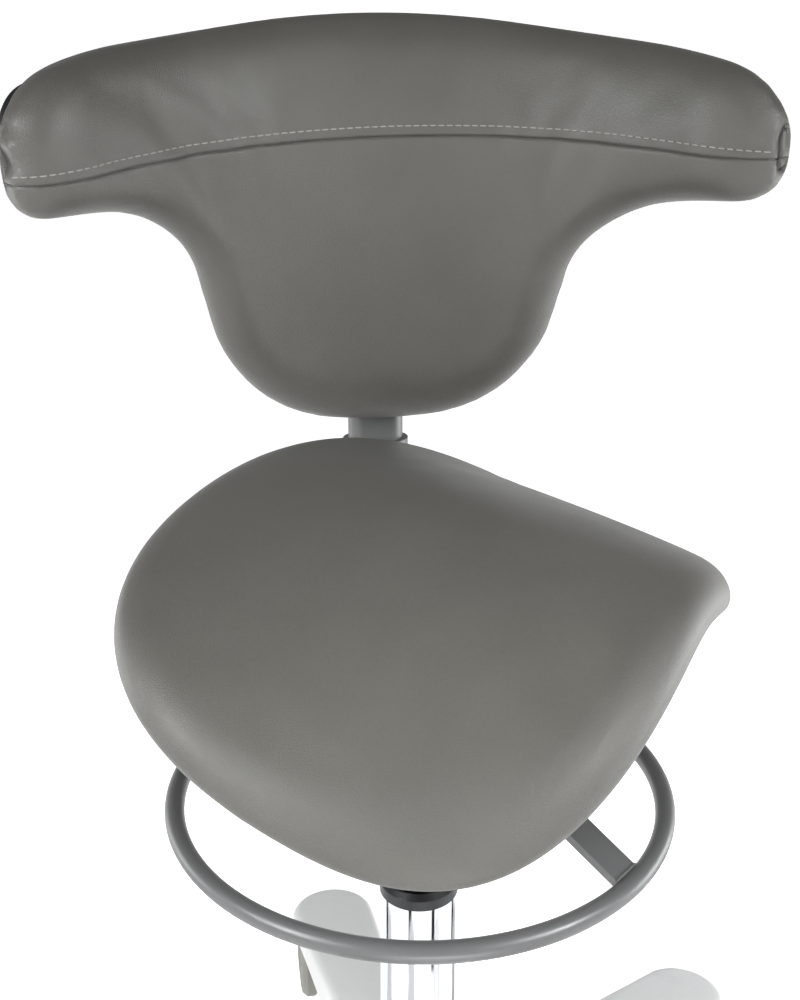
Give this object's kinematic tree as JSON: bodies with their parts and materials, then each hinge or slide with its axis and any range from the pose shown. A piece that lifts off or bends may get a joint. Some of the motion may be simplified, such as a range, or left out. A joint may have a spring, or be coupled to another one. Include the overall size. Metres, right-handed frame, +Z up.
{
  "type": "saddle stool",
  "caption": "Saddle stool with a wrap-round T-shaped backrest on a swing arm, a tilting foot-control ring under the seat, a gas column and a star base on castors.",
  "frame": {"origin": "on the floor under the column's axis", "axes": "+Z up; the sitter looks along -Y; the seat's left side is +X"},
  "size_m": [0.5754, 0.5885, 0.827],
  "materials": {
    "upholstery": "soft grained leatherette, satin",
    "silver_paint": "silver-grey powder coat",
    "chrome": "polished",
    "steel": "ground",
    "black_plastic": "fine texture",
    "cast_metal": "black coated casting",
    "base_grey": "light grey satin coat",
    "plywood": "moulded plywood",
    "charcoal_plastic": "moulded",
    "wheel_grey": "moulded, soft tread",
    "stem_steel": "zinc plated"
  },
  "bodies": {
    "base": {"star_base": "base_grey", "column_tube": "chrome", "column_collar": "black_plastic", "guide_bush": "black_plastic", "thrust_bearing": "steel"},
    "piston": {"piston_rod": "steel", "piston": "steel", "rod_clip": "steel"},
    "seat": {"pressure_cylinder": "steel", "seat_mechanism": "cast_metal", "swing_retainer": "steel", "rocker_pin": "steel", "trunnion_pins": "steel", "mounting_blocks": "black_plastic", "seat_screws": "steel", "seat_pan": "plywood", "seat_cushion": "upholstery"},
    "foot_control": {"foot_ring": "silver_paint", "front_spoke": "silver_paint", "rear_spoke": "silver_paint", "yoke": "silver_paint"},
    "push_rod": {"push_rod": "steel"},
    "rocker": {"release_rocker": "steel"},
    "release_pin": {"release_pin": "steel"},
    "swing": {"swing_collar": "silver_paint", "swing_arm": "silver_paint", "post_sleeve": "silver_paint"},
    "backrest": {"post": "silver_paint", "post_plugs": "black_plastic", "backrest_bracket": "silver_paint", "backrest_screws": "steel", "backrest_shell": "black_plastic", "backrest_cushion": "upholstery"},
    "knob": {"clamp_knob": "black_plastic"},
    "castor_1": {"castor_stem_1": "stem_steel", "castor_body_1": "charcoal_plastic", "castor_axle_1": "stem_steel"},
    "wheel_left_1": {"castor_wheel_left_1": "wheel_grey"},
    "wheel_right_1": {"castor_wheel_right_1": "wheel_grey"},
    "castor_2": {"castor_stem_2": "stem_steel", "castor_body_2": "charcoal_plastic", "castor_axle_2": "stem_steel"},
    "wheel_left_2": {"castor_wheel_left_2": "wheel_grey"},
    "wheel_right_2": {"castor_wheel_right_2": "wheel_grey"},
    "castor_3": {"castor_stem_3": "stem_steel", "castor_body_3": "charcoal_plastic", "castor_axle_3": "stem_steel"},
    "wheel_left_3": {"castor_wheel_left_3": "wheel_grey"},
    "wheel_right_3": {"castor_wheel_right_3": "wheel_grey"},
    "castor_4": {"castor_stem_4": "stem_steel", "castor_body_4": "charcoal_plastic", "castor_axle_4": "stem_steel"},
    "wheel_left_4": {"castor_wheel_left_4": "wheel_grey"},
    "wheel_right_4": {"castor_wheel_right_4": "wheel_grey"},
    "castor_5": {"castor_stem_5": "stem_steel", "castor_body_5": "charcoal_plastic", "castor_axle_5": "stem_steel"},
    "wheel_left_5": {"castor_wheel_left_5": "wheel_grey"},
    "wheel_right_5": {"castor_wheel_right_5": "wheel_grey"}
  },
  "joints": [
    {"name": "seat_swivel", "type": "hinge", "parent": "base", "child": "piston", "pos_m": [0, 0, 0.05], "axis": [0, 0, 1], "continuous": true},
    {"name": "seat_lift", "type": "slide", "parent": "piston", "child": "seat", "axis": [0, 0, 1], "range_m": [-0.105, 0.025]},
    {"name": "foot_ring_tilt", "type": "hinge", "parent": "seat", "child": "foot_control", "pos_m": [0, 0, 0.4425], "axis": [1, 0, 0], "range_deg": [0, 4], "stiffness_Nm_per_rad": 40, "springref_deg": -4.58},
    {"name": "push_rod_lift", "type": "slide", "parent": "seat", "child": "push_rod", "axis": [0, 0, 1], "range_m": [0, 0.0017]},
    {"name": "rocker_turn", "type": "hinge", "parent": "seat", "child": "rocker", "pos_m": [0, 0.014, 0.5095], "axis": [1, 0, 0], "range_deg": [0, 9.5]},
    {"name": "release_pin_press", "type": "slide", "parent": "seat", "child": "release_pin", "axis": [0, 0, -1], "range_m": [0, 0.003]},
    {"name": "backrest_swing", "type": "hinge", "parent": "seat", "child": "swing", "pos_m": [0, 0, 0.472], "axis": [0, 0, 1], "range_deg": [-13, 127]},
    {"name": "backrest_height", "type": "slide", "parent": "swing", "child": "backrest", "axis": [0, 0, 1], "range_m": [0, 0.08]},
    {"name": "clamp_knob_turn", "type": "hinge", "parent": "swing", "child": "knob", "pos_m": [0.23986, 0.15577, 0.5], "axis": [0.8387, 0.5446, 0], "range_deg": [0, 180]},
    {"name": "castor_swivel_1", "type": "hinge", "parent": "base", "child": "castor_1", "pos_m": [0.1895, 0.17063, 0.07], "axis": [0, 0, 1], "continuous": true},
    {"name": "wheel_left_spin_1", "type": "hinge", "parent": "castor_1", "child": "wheel_left_1", "pos_m": [0.20568, 0.18238, 0.028], "axis": [-0.5878, 0.809, 0], "continuous": true},
    {"name": "wheel_right_spin_1", "type": "hinge", "parent": "castor_1", "child": "wheel_right_1", "pos_m": [0.20568, 0.18238, 0.028], "axis": [-0.5878, 0.809, 0], "continuous": true},
    {"name": "castor_swivel_2", "type": "hinge", "parent": "base", "child": "castor_2", "pos_m": [-0.10372, 0.23295, 0.07], "axis": [0, 0, 1], "continuous": true},
    {"name": "wheel_left_spin_2", "type": "hinge", "parent": "castor_2", "child": "wheel_left_2", "pos_m": [-0.1099, 0.25198, 0.028], "axis": [-0.9511, -0.309, 0], "continuous": true},
    {"name": "wheel_right_spin_2", "type": "hinge", "parent": "castor_2", "child": "wheel_right_2", "pos_m": [-0.1099, 0.25198, 0.028], "axis": [-0.9511, -0.309, 0], "continuous": true},
    {"name": "castor_swivel_3", "type": "hinge", "parent": "base", "child": "castor_3", "pos_m": [-0.2536, -0.02666, 0.07], "axis": [0, 0, 1], "continuous": true},
    {"name": "wheel_left_spin_3", "type": "hinge", "parent": "castor_3", "child": "wheel_left_3", "pos_m": [-0.2736, -0.02666, 0.028], "axis": [0, -1, 0], "continuous": true},
    {"name": "wheel_right_spin_3", "type": "hinge", "parent": "castor_3", "child": "wheel_right_3", "pos_m": [-0.2736, -0.02666, 0.028], "axis": [0, -1, 0], "continuous": true},
    {"name": "castor_swivel_4", "type": "hinge", "parent": "base", "child": "castor_4", "pos_m": [-0.05302, -0.24943, 0.07], "axis": [0, 0, 1], "continuous": true},
    {"name": "wheel_left_spin_4", "type": "hinge", "parent": "castor_4", "child": "wheel_left_4", "pos_m": [-0.0592, -0.26845, 0.028], "axis": [0.9511, -0.309, 0], "continuous": true},
    {"name": "wheel_right_spin_4", "type": "hinge", "parent": "castor_4", "child": "wheel_right_4", "pos_m": [-0.0592, -0.26845, 0.028], "axis": [0.9511, -0.309, 0], "continuous": true},
    {"name": "castor_swivel_5", "type": "hinge", "parent": "base", "child": "castor_5", "pos_m": [0.22084, -0.1275, 0.07], "axis": [0, 0, 1], "continuous": true},
    {"name": "wheel_left_spin_5", "type": "hinge", "parent": "castor_5", "child": "wheel_left_5", "pos_m": [0.23702, -0.13926, 0.028], "axis": [0.5878, 0.809, 0], "continuous": true},
    {"name": "wheel_right_spin_5", "type": "hinge", "parent": "castor_5", "child": "wheel_right_5", "pos_m": [0.23702, -0.13926, 0.028], "axis": [0.5878, 0.809, 0], "continuous": true}
  ],
  "couplings": [
    {"joint": "push_rod_lift", "follows": "foot_ring_tilt", "m_per_rad": 0.0215},
    {"joint": "rocker_turn", "follows": "foot_ring_tilt", "ratio": 2.217},
    {"joint": "release_pin_press", "follows": "foot_ring_tilt", "m_per_rad": 0.0377}
  ]
}
